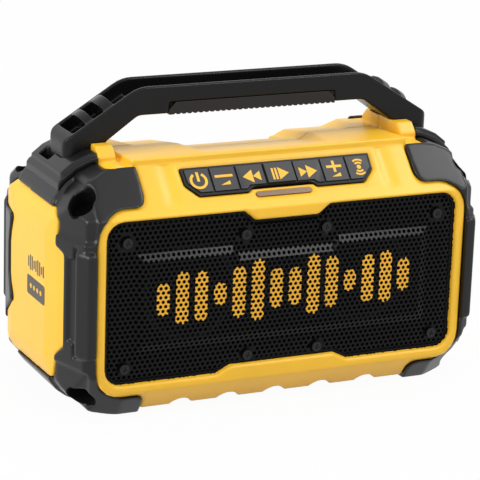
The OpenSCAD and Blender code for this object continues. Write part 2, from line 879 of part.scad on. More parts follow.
module handle_grip() {
    color(black) difference() {
        between_y(-handle_d / 2, handle_d / 2)
            polygon([[-grip_half + fit, grip_z - grip_proud], [grip_half - fit, grip_z - grip_proud],
                [grip_half - fit, grip_top_z - grip_bevel], [grip_half - grip_bevel, grip_top_z - fit],
                [-grip_half + grip_bevel, grip_top_z - fit], [-grip_half + fit, grip_top_z - grip_bevel]]);
        span(-far, -handle_d / 2 + grip_t - 0.05, grip_z + grip_t - 0.05,
            far, handle_d / 2 - grip_t + 0.05, far);
        for (x = [-grip_half + rib_pitch : rib_pitch : grip_half - rib_pitch])
            span(x, -far, 0, x + rib_w, far, grip_z - grip_proud + rib_depth);
    }
}

// Hexagonal holes of the grille inside a rectangle, as closed paths
function hex_path(c) = [for (a = [0 : 60 : 300]) c + hole_d / 2 * [cos(a + 30), sin(a + 30)]];
function hole_rows(z0, z1) = floor((z1 - z0) / (hole_pitch * sin(60)));
function hole_centres(x0, z0, x1, z1) =
    [for (j = [0 : hole_rows(z0, z1)])
        for (i = [0 : floor((x1 - x0) / hole_pitch)])
            let (x = x0 + (i + (j % 2) / 2) * hole_pitch)
            if (x <= x1) [x, z0 + j * hole_pitch * sin(60)]];
function clear_of_screws(c) =
    min([for (p = grille_screw_at) norm(c - p)]) > 3.4 * grille_screw_r + hole_d / 2 + 0.8;

function screw_path(c) =
    [for (a = [0 : 22.5 : 337.5]) c + (grille_screw_r + screw_gap) / cos(11.25) * [cos(a), sin(a)]];
function path_start(paths, k) = k == 0 ? 0 : path_start(paths, k - 1) + len(paths[k - 1]);

// A sheet whose first path is its edge and whose other paths are openings
module pierced(paths) {
    polygon([for (path = paths) each path],
        [for (k = [0 : len(paths) - 1])
            let (start = path_start(paths, k)) [for (i = [0 : len(paths[k]) - 1]) start + i]]);
}

emboss_outline = [[-emboss_half_w, emboss_z0], [emboss_half_w, emboss_z0], [emboss_half_w, emboss_z1],
    [emboss_dip_half + 4, emboss_z1], [emboss_dip_half, emboss_z1 - emboss_dip],
    [-emboss_dip_half, emboss_z1 - emboss_dip], [-emboss_dip_half - 4, emboss_z1],
    [-emboss_half_w, emboss_z1]];

module grille() {
    margin = hole_d / 2 + 1.6;
    mid = hole_centres(-emboss_half_w + margin, emboss_z0 + margin, emboss_half_w - margin,
        emboss_z1 - emboss_dip - margin);
    top = [for (c = hole_centres(-opening_w / 2 + seat_w + margin, emboss_z1 + margin,
        opening_w / 2 - seat_w - margin, opening_top - 6.5 - seat_w - margin)) if (clear_of_screws(c)) c];
    low = [for (c = hole_centres(-opening_w / 2 + seat_w + margin, opening_z + 5 + seat_w + margin,
        opening_w / 2 - seat_w - margin, emboss_z0 - margin)) if (clear_of_screws(c)) c];
    screw_holes = [for (p = grille_screw_at) screw_path(p)];
    color(black) {
        // Rim that rests on the seat, and the embossed middle joined to it by a narrow wall
        between_y(seat_y - grille_t, seat_y)
            pierced(concat([opening(slide_gap), inset(emboss_outline, grille_t)], screw_holes,
                [for (c = concat(top, low)) hex_path(c)]));
        between_y(seat_y - grille_t - emboss, seat_y - emboss)
            pierced(concat([emboss_outline], [for (c = mid) hex_path(c)]));
        between_y(seat_y - grille_t - emboss / 2, seat_y - grille_t / 2)
            pierced([emboss_outline, inset(emboss_outline, grille_t)]);
    }
}

module grille_screws() {
    color(black) for (p = grille_screw_at) {
        rod_y(p[0], p[1], seat_y - 0.5, baffle_back - 1.5, grille_screw_r);
        difference() {
            rod_y(p[0], p[1], seat_y - grille_t - screw_head_h, seat_y - grille_t, 2.2 * grille_screw_r);
            // Cross recess
            for (a = [0, 90])
                translate([p[0], seat_y - grille_t - screw_head_h, p[1]]) rotate([0, a + 20, 0])
                    cube([2.4 * grille_screw_r, screw_head_h, screw_head_h / 2], center = true);
        }
        rod_y(p[0], p[1], seat_y - grille_t - 0.5, seat_y, grille_screw_r);
    }
}

// Cell of a key within the strip
module key_cell(i, g) {
    intersection() {
        polygon(inset(strip_outline, strip_rim + g));
        polygon(rect(key_edges[i] + g, -strip_h, key_edges[i + 1] - g, strip_h));
    }
}

function key_x(i) = (key_edges[i] + key_edges[i + 1]) / 2;

module keypad_frame() {
    color(rubber) on_panel() difference() {
        union() {
            translate([0, 0, -wall - fit]) linear_extrude(wall + fit + tray_proud) polygon(strip_outline);
            translate([0, 0, -wall - fit - tray_flange_t]) linear_extrude(tray_flange_t)
                polygon(inset(strip_outline, -tray_flange_out));
            // Feet that the key board is held against
            for (i = [1, 3, 5])
                translate([key_edges[i], 4, board_top]) cylinder(h = -board_top - wall, r = 1.5);
        }
        for (i = [0 : key_count - 1]) {
            translate([0, 0, -wall - fit]) linear_extrude(far) key_cell(i, 0.4);
            translate([key_x(i), 0, -far]) cylinder(h = 2 * far, r = stem_r + key_gap);
        }
        translate([0, 0, -far]) linear_extrude(2 * far)
            polygon(inset(window_shape(0), -tray_flange_out - 2));
    }
}

// A key cap with its stem; the middle key stands higher
module key(i) {
    proud = tray_proud + key_proud * (i == 3 ? 1.8 : 1);
    color(rubber) on_panel() {
        translate([0, 0, -wall + key_travel + 0.3]) linear_extrude(wall - key_travel - 0.3 + proud)
            key_cell(i, 0.4 + key_gap);
        translate([key_x(i), 0, -stem_reach]) cylinder(h = stem_reach - 1, r = stem_r);
    }
}

module key_power() {
    key(0);
}

module key_volume_down() {
    key(1);
}

module key_previous() {
    key(2);
}

module key_play() {
    key(3);
}

module key_next() {
    key(4);
}

module key_volume_up() {
    key(5);
}

module key_pairing() {
    key(6);
}

module keypad_board() {
    color(board_green) on_panel() translate([0, 0, board_top - board_t]) linear_extrude(board_t)
        polygon(rect(-strip_l / 2 + 3, -6, strip_l / 2 - 3, strip_h / 2));
}

module tact_switches() {
    color(black) on_panel() for (i = [0 : key_count - 1])
        translate([key_x(i), 0, board_top]) {
            translate([-switch_size / 2, -switch_size / 2, 0])
                cube([switch_size, switch_size, switch_h - 0.8]);
            cylinder(h = switch_h, r = plunger_r);
        }
}

function window_shape(g) =
    let (z0 = window_v - window_h / 2, z1 = window_v + window_h / 2)
    rounded(rect(-window_half + g, z0 + g, window_half - g, z1 - g), window_h / 2 - g - 0.05);

module status_window() {
    color([0.45, 0.38, 0.33]) on_panel() translate([0, 0, -wall + 0.1]) linear_extrude(wall - 0.5)
        polygon(window_shape(0));
}

// Loudspeaker drivers, drawn along +Z from the back of the baffle
module at_driver(side) {
    translate([side * driver_x, baffle_back, driver_z]) rotate([-90, 0, 0]) children();
}

module driver_gaskets() {
    color(black) for (side = [-1, 1])
        at_driver(side) difference() {
            cylinder(h = gasket_t, r = flange_r);
            translate([0, 0, -1]) cylinder(h = gasket_t + 2, r = baffle_hole_r);
            for (a = [45 : 90 : 315])
                rotate(a) translate([driver_pcd_r, 0, -1])
                    cylinder(h = gasket_t + 2, r = grille_screw_r + screw_gap);
        }
}

module driver_basket(side) {
    flange_z = gasket_t + flange_t;
    color(black) at_driver(side) difference() {
        rotate_extrude()
            polygon([[baffle_hole_r - 0.5, gasket_t], [flange_r, gasket_t], [flange_r, flange_z],
                [baffle_hole_r + 1, flange_z], [basket_back_r, basket_depth], [magnet_gap_r, basket_depth],
                [magnet_gap_r, basket_depth - 2], [basket_back_r - 2, basket_depth - 2],
                [baffle_hole_r - 0.5, flange_z]]);
        for (a = [0 : 60 : 300])
            rotate(a) translate([15, -8, flange_z + 3]) cube([30, 16, basket_depth - flange_z - 8]);
        for (a = [45 : 90 : 315])
            rotate(a) translate([driver_pcd_r, 0, -1]) cylinder(h = 10, r = grille_screw_r + screw_gap);
    }
}

module driver_magnet(side) {
    color(steel) at_driver(side) translate([0, 0, basket_depth]) rotate_extrude()
        polygon([[0, 0], [pole_r, 0], [pole_r, magnet_t - 3], [magnet_gap_r, magnet_t - 3],
            [magnet_gap_r, 0], [magnet_r, 0], [magnet_r, magnet_t], [0, magnet_t]]);
}

// Paper cone with its dust cap
module driver_cone(side) {
    neck_z = 13;
    rim_z = 3;
    paper = 0.9;
    color(black) at_driver(side) rotate_extrude()
        polygon([[0, neck_z - 4], [coil_r * 0.6, neck_z - 3.2], [coil_r, neck_z - 1],
            [cone_r, rim_z - paper], [cone_r, rim_z], [coil_r, neck_z], [coil_r * 0.6, neck_z - 2.3],
            [0, neck_z - 3.1]]);
}

module driver_surround(side) {
    roll_r = (baffle_hole_r - 0.5 - cone_r) / 2 - fit;
    color(black) at_driver(side) rotate_extrude()
        translate([(baffle_hole_r - 0.5 + cone_r) / 2, gasket_t + flange_t]) difference() {
            circle(roll_r);
            circle(roll_r - 0.7);
            translate([-far / 2, 0]) square(far);
        }
}

module driver_spider(side) {
    inner = coil_r + fit;
    outer = basket_back_r - 4;
    waves = 6;
    step = (outer - inner) / waves;
    ridge = [for (k = [0 : waves]) [inner + k * step, basket_depth - 3.4 + (k % 2) * 0.8]];
    back = [for (k = [waves : -1 : 0]) ridge[k] + [0, 0.5]];
    color([0.75, 0.6, 0.35]) at_driver(side) rotate_extrude()
        polygon(concat(ridge, [[outer, basket_depth - 2 - fit / 2]], [back[0] - [0.6, -0.2]], back));
}

module voice_coil(side) {
    color([0.72, 0.42, 0.2]) at_driver(side) difference() {
        translate([0, 0, 13 + fit]) cylinder(h = basket_depth - 6, r = coil_r);
        cylinder(h = far, r = coil_r - coil_t);
    }
}

module left_driver_basket() {
    driver_basket(-1);
}

module right_driver_basket() {
    driver_basket(1);
}

module left_driver_magnet() {
    driver_magnet(-1);
}

module right_driver_magnet() {
    driver_magnet(1);
}

module left_driver_cone() {
    driver_cone(-1);
}

module right_driver_cone() {
    driver_cone(1);
}

module left_driver_surround() {
    driver_surround(-1);
}

module right_driver_surround() {
    driver_surround(1);
}

module left_driver_spider() {
    driver_spider(-1);
}

module right_driver_spider() {
    driver_spider(1);
}

module left_voice_coil() {
    voice_coil(-1);
}

module right_voice_coil() {
    voice_coil(1);
}

module driver_screws() {
    color(steel) for (side = [-1, 1])
        at_driver(side) for (a = [45 : 90 : 315])
            rotate(a) translate([driver_pcd_r, 0, 0]) {
                translate([0, 0, -2]) cylinder(h = gasket_t + flange_t + 2.5, r = grille_screw_r);
                translate([0, 0, gasket_t + flange_t])
                    cylinder(h = small_head_h, r = 1.8 * grille_screw_r);
            }
}

module main_board() {
    top = main_board_y - board_t;
    color(board_green) difference() {
        union() {
            span(-main_board_half_w, top, main_board_z0, main_board_half_w, main_board_y, main_board_z1);
            for (p = board_parts)
                span(p[0], top - p[4], p[1], p[2], top, p[3]);
            // Heat sink on the amplifier
            for (x = sink_fin_at)
                span(x - sink_fin_t / 2, top - sink_h, board_parts[0][1], x + sink_fin_t / 2,
                    top - board_parts[0][4] + 1, board_parts[0][3]);
            for (p = capacitor_at)
                rod_y(p[0], p[1], top - capacitor_h, top, capacitor_r);
        }
        for (p = board_boss_at)
            rod_y(p[0], p[1], 0, main_board_y + 1, grille_screw_r + screw_gap);
    }
}

module board_screws() {
    top = main_board_y - board_t;
    color(steel) for (p = board_boss_at) {
        rod_y(p[0], p[1], top - small_head_h / 2, main_board_y + board_screw_l, grille_screw_r);
        rod_y(p[0], p[1], top - small_head_h, top, 1.8 * grille_screw_r);
    }
}

// Rails that the pack slides on
module rails(g) {
    y0 = bay_front + dock_t;
    z0 = pack_z + dock_lift;
    for (s = [-1, 1]) {
        span(s * rail_x - rail_stem / 2 - g, y0 - 1, z0,
            s * rail_x + rail_stem / 2 + g, y0 + rail_reach + g, z0 + rail_h);
        span(s * rail_x - rail_head / 2 - g, y0 + rail_reach - g, z0,
            s * rail_x + rail_head / 2 + g, y0 + rail_reach + rail_head_t + g, z0 + rail_h);
    }
}

module blades(g) {
    y0 = bay_front + dock_t;
    for (x = blade_at)
        span(x - blade_t / 2 - g, y0 - 1, pack_z + blade_z0, x + blade_t / 2 + g, y0 + blade_reach + g,
            pack_z + blade_z1);
}

module battery_dock() {
    color(black) {
        span(-dock_half_w, bay_front + 0.05, pack_z + dock_lift,
            dock_half_w, bay_front + dock_t, pack_z + dock_lift + rail_h);
        rails(0);
        blades(0);
        // Stop that the pack comes down on
        span(-dock_half_w, bay_front + 0.05, bay_floor + 0.1,
            dock_half_w, bay_front + dock_stop_d, pack_z - 0.3);
        span(-dock_half_w, bay_front + 0.05, bay_floor + 0.1,
            dock_half_w, bay_front + dock_t, pack_z + 2 * dock_lift);
    }
}

module battery_case() {
    half = pack_w / 2;
    top = pack_z + pack_h;
    latch_mid_y = pack_back - latch_depth;
    color(black) difference() {
        between_y(pack_front, pack_back)
            polygon(rounded(rect(-half, pack_z, half, top), [5, 5, 8, 8]));
        // Grooves and slots, open downwards
        front_grooves();
        // Room for the cells
        span(-cell_l / 2 - 0.6, cell_row_y - cell_r - 0.4, pack_z + 4, cell_l / 2 + 0.6,
            cell_row_y + cell_row_gap + cell_r + 0.4, pack_z + 8 + 3 * cell_pitch);
        // Latch pocket with the room behind it for the spring
        span(-latch_half_w - slide_gap, latch_mid_y - latch_travel - 0.6, latch_z - slide_gap,
            latch_half_w + slide_gap, far, latch_z + latch_h + slide_gap);
        rod_y(0, latch_z + latch_h / 2, latch_mid_y - latch_travel - 9, pack_back, spring_r + slide_gap);
    }
}

module front_grooves() {
    y0 = bay_front + dock_t;
    h = pack_z + 3 + rail_h;
    for (s = [-1, 1]) {
        span(s * rail_x - rail_stem / 2 - slide_gap, pack_front - 1, 0,
            s * rail_x + rail_stem / 2 + slide_gap, y0 + rail_reach + slide_gap, h);
        span(s * rail_x - rail_head / 2 - slide_gap, y0 + rail_reach - slide_gap, 0,
            s * rail_x + rail_head / 2 + slide_gap, y0 + rail_reach + rail_head_t + slide_gap, h);
    }
    for (x = blade_at)
        span(x - blade_t / 2 - slide_gap, 0, 0, x + blade_t / 2 + slide_gap, y0 + blade_reach + slide_gap,
            pack_z + blade_z1 + 1);
}

// Five cells in two staggered rows
module battery_cells() {
    color([0.25, 0.45, 0.6]) for (i = [0 : 4]) {
        row = i < 3 ? 0 : 1;
        k = i - 3 * row;
        translate([0, cell_row_y + row * cell_row_gap, pack_z + 5 + cell_r + (k + row / 2) * cell_pitch])
            rotate([0, 90, 0]) cylinder(h = cell_l, r = cell_r, center = true);
    }
}

module battery_latch() {
    color(rubber) difference() {
        span(-latch_half_w, pack_back - latch_depth, latch_z, latch_half_w, pack_back + latch_proud,
            latch_z + latch_h);
        for (z = [latch_z + 2.5 : 2 : latch_z + latch_h - 2])
            span(-latch_half_w + 2, pack_back + latch_proud - 0.5, z, latch_half_w - 2, far, z + 1);
    }
}

module latch_spring() {
    y1 = pack_back - latch_depth - 0.1;
    color(steel) difference() {
        rod_y(0, latch_z + latch_h / 2, y1 - latch_travel - 8, y1, spring_r);
        rod_y(0, latch_z + latch_h / 2, y1 - far, y1 + 1, spring_r - 1);
    }
}

// Rubber cover that swings down about its rolled lower edge
module port_cover() {
    y1 = half_d - boot_proud - 0.8;
    hinge_z = port_z - port_half_h + port_hinge_in;
    half = port_half_w - slide_gap - 0.1;
    top = port_z + port_half_h - slide_gap - 0.1;
    color(rubber) difference() {
        union() {
            between_y(y1 - port_cover_t, y1)
                polygon(rounded(rect(port_x - half, hinge_z, port_x + half, top), [0, 0, 4, 4]));
            translate([port_x - half, y1 - port_cover_t / 2, hinge_z]) rotate([0, 90, 0])
                cylinder(h = 2 * half, r = port_cover_t / 2 + 0.15);
        }
        // Finger notch at the free edge
        rod_y(port_x, port_z + port_half_h, y1 - 0.6, y1 + 1, 5);
    }
}

module jack(x, r, bore) {
    y0 = half_d - boot_proud - port_depth;
    difference() {
        union() {
            rod_y(x, port_z, y0 - jack_depth, y0 + 1, r);
            rod_y(x, port_z, y0 - jack_depth, y0 - wall - 0.1, r + 1.5);
        }
        rod_y(x, port_z, y0 - jack_depth + 2, y0 + 2, bore);
    }
}

module aux_jack() {
    color(black) jack(port_x - jack_spread, aux_r, 1.8);
}

module dc_jack() {
    color(black) {
        jack(port_x + jack_spread, dc_r, 3.2);
        rod_y(port_x + jack_spread, port_z, half_d - boot_proud - port_depth - jack_depth + 1,
            half_d - boot_proud - port_depth, 1);
    }
}

module housing_screws() {
    seat = half_d - boot_proud - counterbore;
    color(steel) for (p = housing_screw_at) {
        rod_y(p[0], p[1], housing_screw_tip, seat + housing_head_h / 2, housing_screw_r);
        rod_y(p[0], p[1], seat, seat + housing_head_h, head_scale * housing_screw_r);
    }
}

module handle_screws() {
    color(steel) both_sides() front_and_back() {
        head_z = body_h - handle_screw_seat;
        rod_z(foot_mid, screw_foot_y, head_z - 1, body_h + handle_screw_reach, handle_screw_r);
        rod_z(foot_mid, screw_foot_y, head_z - handle_head_h, head_z, 2 * handle_screw_r);
    }
}

front_housing();
rear_housing();
left_end_panel();
right_end_panel();
left_bumper();
right_bumper();
handle();
handle_grip();
left_handle_collar();
right_handle_collar();
grille();
grille_screws();
keypad_frame();
key_power();
key_volume_down();
key_previous();
key_play();
key_next();
key_volume_up();
key_pairing();
keypad_board();
tact_switches();
status_window();
left_driver_basket();
right_driver_basket();
left_driver_magnet();
right_driver_magnet();
left_driver_cone();
right_driver_cone();
left_driver_surround();
right_driver_surround();
left_driver_spider();
right_driver_spider();
left_voice_coil();
right_voice_coil();
driver_gaskets();
driver_screws();
main_board();
board_screws();
battery_dock();
battery_case();
battery_cells();
battery_latch();
latch_spring();
port_cover();
aux_jack();
dc_jack();
housing_screws();
handle_screws();
housing_seal();
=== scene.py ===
import json
import math

import bmesh
import bpy
from mathutils import Matrix, Vector

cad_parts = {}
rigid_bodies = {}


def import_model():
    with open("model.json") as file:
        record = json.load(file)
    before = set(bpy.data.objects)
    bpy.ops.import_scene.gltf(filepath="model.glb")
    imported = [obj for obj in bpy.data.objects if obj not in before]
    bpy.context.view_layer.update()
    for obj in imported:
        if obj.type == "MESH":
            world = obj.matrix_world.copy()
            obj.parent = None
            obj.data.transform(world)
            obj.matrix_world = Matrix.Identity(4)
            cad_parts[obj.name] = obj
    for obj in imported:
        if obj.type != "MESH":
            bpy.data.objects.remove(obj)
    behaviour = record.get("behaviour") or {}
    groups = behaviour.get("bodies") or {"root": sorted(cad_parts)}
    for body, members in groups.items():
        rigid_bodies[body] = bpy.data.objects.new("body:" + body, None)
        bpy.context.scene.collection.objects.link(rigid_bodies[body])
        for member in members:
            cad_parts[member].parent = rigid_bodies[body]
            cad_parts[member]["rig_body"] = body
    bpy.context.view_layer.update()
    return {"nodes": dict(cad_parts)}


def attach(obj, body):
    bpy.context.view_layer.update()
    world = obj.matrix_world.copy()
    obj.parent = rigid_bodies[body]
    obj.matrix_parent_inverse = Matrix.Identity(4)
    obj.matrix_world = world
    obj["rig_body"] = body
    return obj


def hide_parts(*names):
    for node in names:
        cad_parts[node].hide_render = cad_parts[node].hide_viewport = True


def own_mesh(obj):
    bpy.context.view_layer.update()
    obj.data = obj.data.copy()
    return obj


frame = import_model()
nodes = frame["nodes"]
scene = bpy.context.scene
MM = 0.001

# Sizes that follow the CAD part, in millimetres
OPENING_HALF_W = 124
OPENING_Z0 = 23.5
OPENING_Z1 = 131
OPENING_R = 11
FOOT_NOTCH_HALF_W = 47
FOOT_NOTCH_FLAT = 37
FOOT_NOTCH_H = 5
TOP_NOTCH_HALF_W = 30
TOP_NOTCH_FLAT = 22
TOP_NOTCH_H = 6.5
NOTCH_R = 3
GRILLE_FRONT = -71.2
GRILLE_SCREWS = [(-110, 117), (-28.5, 115.3), (28.5, 115.3), (110, 117),
                 (-110.5, 34), (-25, 34), (25, 34), (110.5, 34)]
WELL_FRONT = -71.4
WELL_BACK = -50
PANEL_TILT = math.radians(45.5)
PANEL_FOOT = Vector((0, -74, 132.4))
KEYS_UP_PANEL = 22.9
KEY_X = {"key_power": -57, "key_volume_down": -39.2, "key_previous": -20.35, "key_play": 0,
         "key_next": 20.35, "key_volume_up": 39.2, "key_pairing": 57}
KEY_BASE = 0.4
KEY_RISE = 0.9
PLAY_FACTOR = 1.8
END_FACE_X = -148.5

# Mouths and directions of the right boot's lashing holes, which the left boot mirrors
LASH_R = 9
LASH_HOLES = [((134.6, -56.5, 142.3), (0.38, -0.28, 0.88)),
              ((134.8, -57.2, 11.7), (0.55, -0.36, -0.75)),
              ((134.6, 44, 145), (0.38, 0.28, 0.88)),
              ((136, 60, 7), (0.55, 0.36, -0.75))]
# How deep, and how far out past the hole's radius, the painted shade inside the lashing holes reaches
HOLE_SHADE_DEPTH = 0.8
HOLE_SHADE_SLACK = 1.2

# Materials: broad patches of colour, fine grain in the gloss and the relief
PATCH_SCALE = 25
GRAIN_DEPTH = 0.0002
GLOSS_SPREAD = 0.06


def linear(rgb):
    """A display colour in the linear values that a shader takes."""
    return [c / 255 / 12.92 if c <= 10 else ((c / 255 + 0.055) / 1.055) ** 2.4 for c in rgb] + [1]


def material(name, rgb, rough, vary=0.06, grain=1400, bump=0.08, metallic=0.0, specular=0.5):
    mat = bpy.data.materials.new(name)
    mat.use_nodes = True
    tree = mat.node_tree
    shader = tree.nodes["Principled BSDF"]
    shader.inputs["Metallic"].default_value = metallic
    shader.inputs["Specular IOR Level"].default_value = specular
    coords = tree.nodes.new("ShaderNodeTexCoord")
    broad = tree.nodes.new("ShaderNodeTexNoise")
    broad.inputs["Scale"].default_value = PATCH_SCALE
    broad.inputs["Detail"].default_value = 4
    fine = tree.nodes.new("ShaderNodeTexNoise")
    fine.inputs["Scale"].default_value = grain
    fine.inputs["Detail"].default_value = 2
    tree.links.new(coords.outputs["Object"], broad.inputs["Vector"])
    tree.links.new(coords.outputs["Object"], fine.inputs["Vector"])
    colour = linear(rgb)
    ramp = tree.nodes.new("ShaderNodeValToRGB")
    ramp.color_ramp.elements[0].position = 0.3
    ramp.color_ramp.elements[1].position = 0.7
    ramp.color_ramp.elements[0].color = [c * (1 - vary) for c in colour[:3]] + [1]
    ramp.color_ramp.elements[1].color = [min(1, c * (1 + vary)) for c in colour[:3]] + [1]
    tree.links.new(broad.outputs["Fac"], ramp.inputs["Fac"])
    tree.links.new(ramp.outputs["Color"], shader.inputs["Base Color"])
    spread = tree.nodes.new("ShaderNodeMapRange")
    spread.inputs["To Min"].default_value = max(0, rough - GLOSS_SPREAD)
    spread.inputs["To Max"].default_value = min(1, rough + GLOSS_SPREAD)
    tree.links.new(fine.outputs["Fac"], spread.inputs["Value"])
    tree.links.new(spread.outputs["Result"], shader.inputs["Roughness"])
    relief = tree.nodes.new("ShaderNodeBump")
    relief.inputs["Strength"].default_value = bump
    relief.inputs["Distance"].default_value = GRAIN_DEPTH
    tree.links.new(fine.outputs["Fac"], relief.inputs["Height"])
    tree.links.new(relief.outputs["Normal"], shader.inputs["Normal"])
    return mat


yellow = material("yellow_plastic", (248, 192, 42), 0.36, vary=0.03)
rubber = material("boot_rubber", (20, 20, 21), 0.31, bump=0.12, specular=0.33)
handle_black = material("black_plastic", (15, 15, 16), 0.27, vary=0.08, specular=0.22)
soft_black = material("soft_rubber", (26, 26, 28), 0.5, vary=0.08, bump=0.14, specular=0.3)
key_rubber = material("key_rubber", (44, 44, 46), 0.45, vary=0.05, bump=0.1)
grille_black = material("grille_coat", (10, 10, 11), 0.25, vary=0.1, specular=0.13)
grille_print = material("grille_print", (226, 166, 38), 0.55)
# Black of the speaker cloth and driver parts; on the boots it is also painted shade deep in the lashing
# holes
cloth_black_and_hole_shade = material("inner_cloth_and_hole_shade", (7, 7, 8), 0.9, vary=0.2, grain=2500, bump=0.3, specular=0.1)
icon_paint = material("icon_paint", (244, 186, 48), 0.5, vary=0.04)
label_ink = material("label_ink", (72, 66, 52), 0.45)
smoked = material("smoked_window", (132, 106, 84), 0.25, vary=0.08)
steel = material("screw_steel", (165, 165, 170), 0.35, vary=0.08, metallic=0.9)
dark_steel = material("blackened_screw", (26, 26, 27), 0.4, vary=0.1, metallic=0.5)
board_green = material("board", (22, 74, 48), 0.5, vary=0.15)
copper = material("coil_wire", (176, 104, 58), 0.35, vary=0.1, metallic=0.9)
iron = material("magnet_iron", (84, 84, 88), 0.45, vary=0.1, metallic=0.7)
cell_film = material("cell_sleeve", (62, 100, 128), 0.4, vary=0.1)

# Pieces
WELD_GAP = 1e-6


def take_material(obj, mat):
    obj.data.materials.clear()
    obj.data.materials.append(mat)


def place(obj, body):
    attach(obj, body)
    return obj


def new_object(name, data):
    obj = bpy.data.objects.new(name, data)
    scene.collection.objects.link(obj)
    return obj


def mesh_object(name, verts, faces):
    mesh = bpy.data.meshes.new(name)
    mesh.from_pydata(verts, [], faces)
    return new_object(name, mesh)


def evaluated_mesh(obj):
    graph = bpy.context.evaluated_depsgraph_get()
    return bpy.data.meshes.new_from_object(obj.evaluated_get(graph))


def soften(node, mat, voxel, rounds, share):
    """A copy of a CAD node with rounded edges, which stands for it."""
    obj = new_object(node + "_skin", nodes[node].data.copy())
    work = bmesh.new()
    work.from_mesh(obj.data)
    bmesh.ops.remove_doubles(work, verts=work.verts, dist=WELD_GAP)
    work.to_mesh(obj.data)
    work.free()
    voxels = obj.modifiers.new("voxels", "REMESH")
    voxels.mode = "VOXEL"
    voxels.voxel_size = voxel * MM
    smooth = obj.modifiers.new("soften", "SMOOTH")
    smooth.factor = 0.5
    smooth.iterations = rounds
    fewer = obj.modifiers.new("fewer", "DECIMATE")
    fewer.ratio = share
    mesh = evaluated_mesh(obj)
    obj.modifiers.clear()
    obj.data = mesh
    mesh.shade_smooth()
    take_material(obj, mat)
    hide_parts(node)
    return place(obj, nodes[node]["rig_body"])


def bevel(node, mat, width, angle=40):
    """Rounds the edges of a CAD node in place."""
    obj = nodes[node]
    take_material(obj, mat)
    weld = obj.modifiers.new("weld", "WELD")
    weld.merge_threshold = WELD_GAP
    edges = obj.modifiers.new("edges", "BEVEL")
    edges.width = width * MM
    edges.segments = 3
    edges.limit_method = "ANGLE"
    edges.angle_limit = math.radians(angle)
    edges.harden_normals = True


# Outlines
def inset(points, d):
    """A closed outline moved inwards by d."""
    moved = []
    for i, b in enumerate(points):
        a, c = points[i - 1], points[(i + 1) % len(points)]
        d1, d2 = (b - a).normalized(), (c - b).normalized()
        n1, n2 = Vector((-d1.y, d1.x)), Vector((-d2.y, d2.x))
        moved.append(b + (n1 + n2) * d / (1 + n1.dot(n2)))
    return moved


def rounded(points, radii, steps=5):
    """A closed outline with an arc at each corner."""
    out = []
    for i, b in enumerate(points):
        a, c, r = points[i - 1], points[(i + 1) % len(points)], radii[i]
        u, v = (a - b).normalized(), (c - b).normalized()
        half = u.angle(v) / 2
        centre = b + (u + v).normalized() * r / math.sin(half)
        s, e = b + u * r / math.tan(half) - centre, b + v * r / math.tan(half) - centre
        a0 = math.atan2(s.y, s.x)
        sweep = (math.atan2(e.y, e.x) - a0 + math.pi) % (2 * math.pi) - math.pi
        for k in range(steps + 1):
            t = a0 + sweep * k / steps
            out.append(centre + r * Vector((math.cos(t), math.sin(t))))
    return out


def opening(g):
    """The outline of the grille's opening, moved inwards by g."""
    w, z0, z1 = OPENING_HALF_W, OPENING_Z0, OPENING_Z1
    foot, top = z0 + FOOT_NOTCH_H, z1 - TOP_NOTCH_H
    corners = [(-w, z0), (-FOOT_NOTCH_HALF_W, z0), (-FOOT_NOTCH_FLAT, foot),
               (FOOT_NOTCH_FLAT, foot), (FOOT_NOTCH_HALF_W, z0), (w, z0),
               (w, z1), (TOP_NOTCH_HALF_W, z1), (TOP_NOTCH_FLAT, top),
               (-TOP_NOTCH_FLAT, top), (-TOP_NOTCH_HALF_W, z1), (-w, z1)]
    half_radii = [OPENING_R - g] + [NOTCH_R] * 4 + [OPENING_R - g]
    return rounded(inset([Vector(p) for p in corners], g), half_radii * 2)


def inside(p, outline):
    hit = False
    for i, b in enumerate(outline):
        a = outline[i - 1]
        if (a.y > p.y) != (b.y > p.y) and p.x < (b.x - a.x) * (p.y - a.y) / (b.y - a.y) + a.x:
            hit = not hit
    return hit


# Relief of the grille: a raised field, a rim that falls back, and dimples for the screws
EMBOSS = 2.6
EMBOSS_RUN = 5.5
EDGE_DROP = 1.0
EDGE_RUN = 9
FIELD_HALF_W = 104
FIELD_Z0 = 44
FIELD_Z1 = 109
FIELD_DIP = 5
FIELD_DIP_HALF_W = 38
FIELD_DIP_FLAT = 33
DIMPLE = 0.7
DIMPLE_R = 6.2
DIMPLE_RUN = 2.5


def smooth_step(t):
    t = max(0, min(1, t))
    return t * t * (3 - 2 * t)


def notch(x, height, half_width, flat):
    """How far a notch with sloping sides reaches at x."""
    return height * smooth_step((half_width - abs(x)) / (half_width - flat))


def grille_y(x, z):
    field_top = FIELD_Z1 - notch(x, FIELD_DIP, FIELD_DIP_HALF_W, FIELD_DIP_FLAT)
    inward = min(FIELD_HALF_W - abs(x), z - FIELD_Z0, field_top - z)
    top = OPENING_Z1 - notch(x, TOP_NOTCH_H, TOP_NOTCH_HALF_W, TOP_NOTCH_FLAT)
    foot = OPENING_Z0 + notch(x, FOOT_NOTCH_H, FOOT_NOTCH_HALF_W, FOOT_NOTCH_FLAT)
    edge = min(OPENING_HALF_W - abs(x), z - foot, top - z)
    y = GRILLE_FRONT - EMBOSS * max(0, min(1, inward / EMBOSS_RUN))
    y += EDGE_DROP * (1 - smooth_step(edge / EDGE_RUN))
    for sx, sz in GRILLE_SCREWS:
        y += DIMPLE * smooth_step((DIMPLE_R - math.hypot(x - sx, z - sz)) / DIMPLE_RUN)
    return y


# Print on the grille: a row of bars with round ends
BAR_PITCH = 13.2
BAR_HALF_W = 4.4
BAR_COUNT = 14
BAR_Z = 78


def bar_half_height(k):
    """Heights of a sound wave that swells along the row."""
    return 7 + 14 * abs(math.sin(0.4 + 0.9 * k)) * (0.6 + 0.4 * math.cos((k - 6.5) * 0.2))


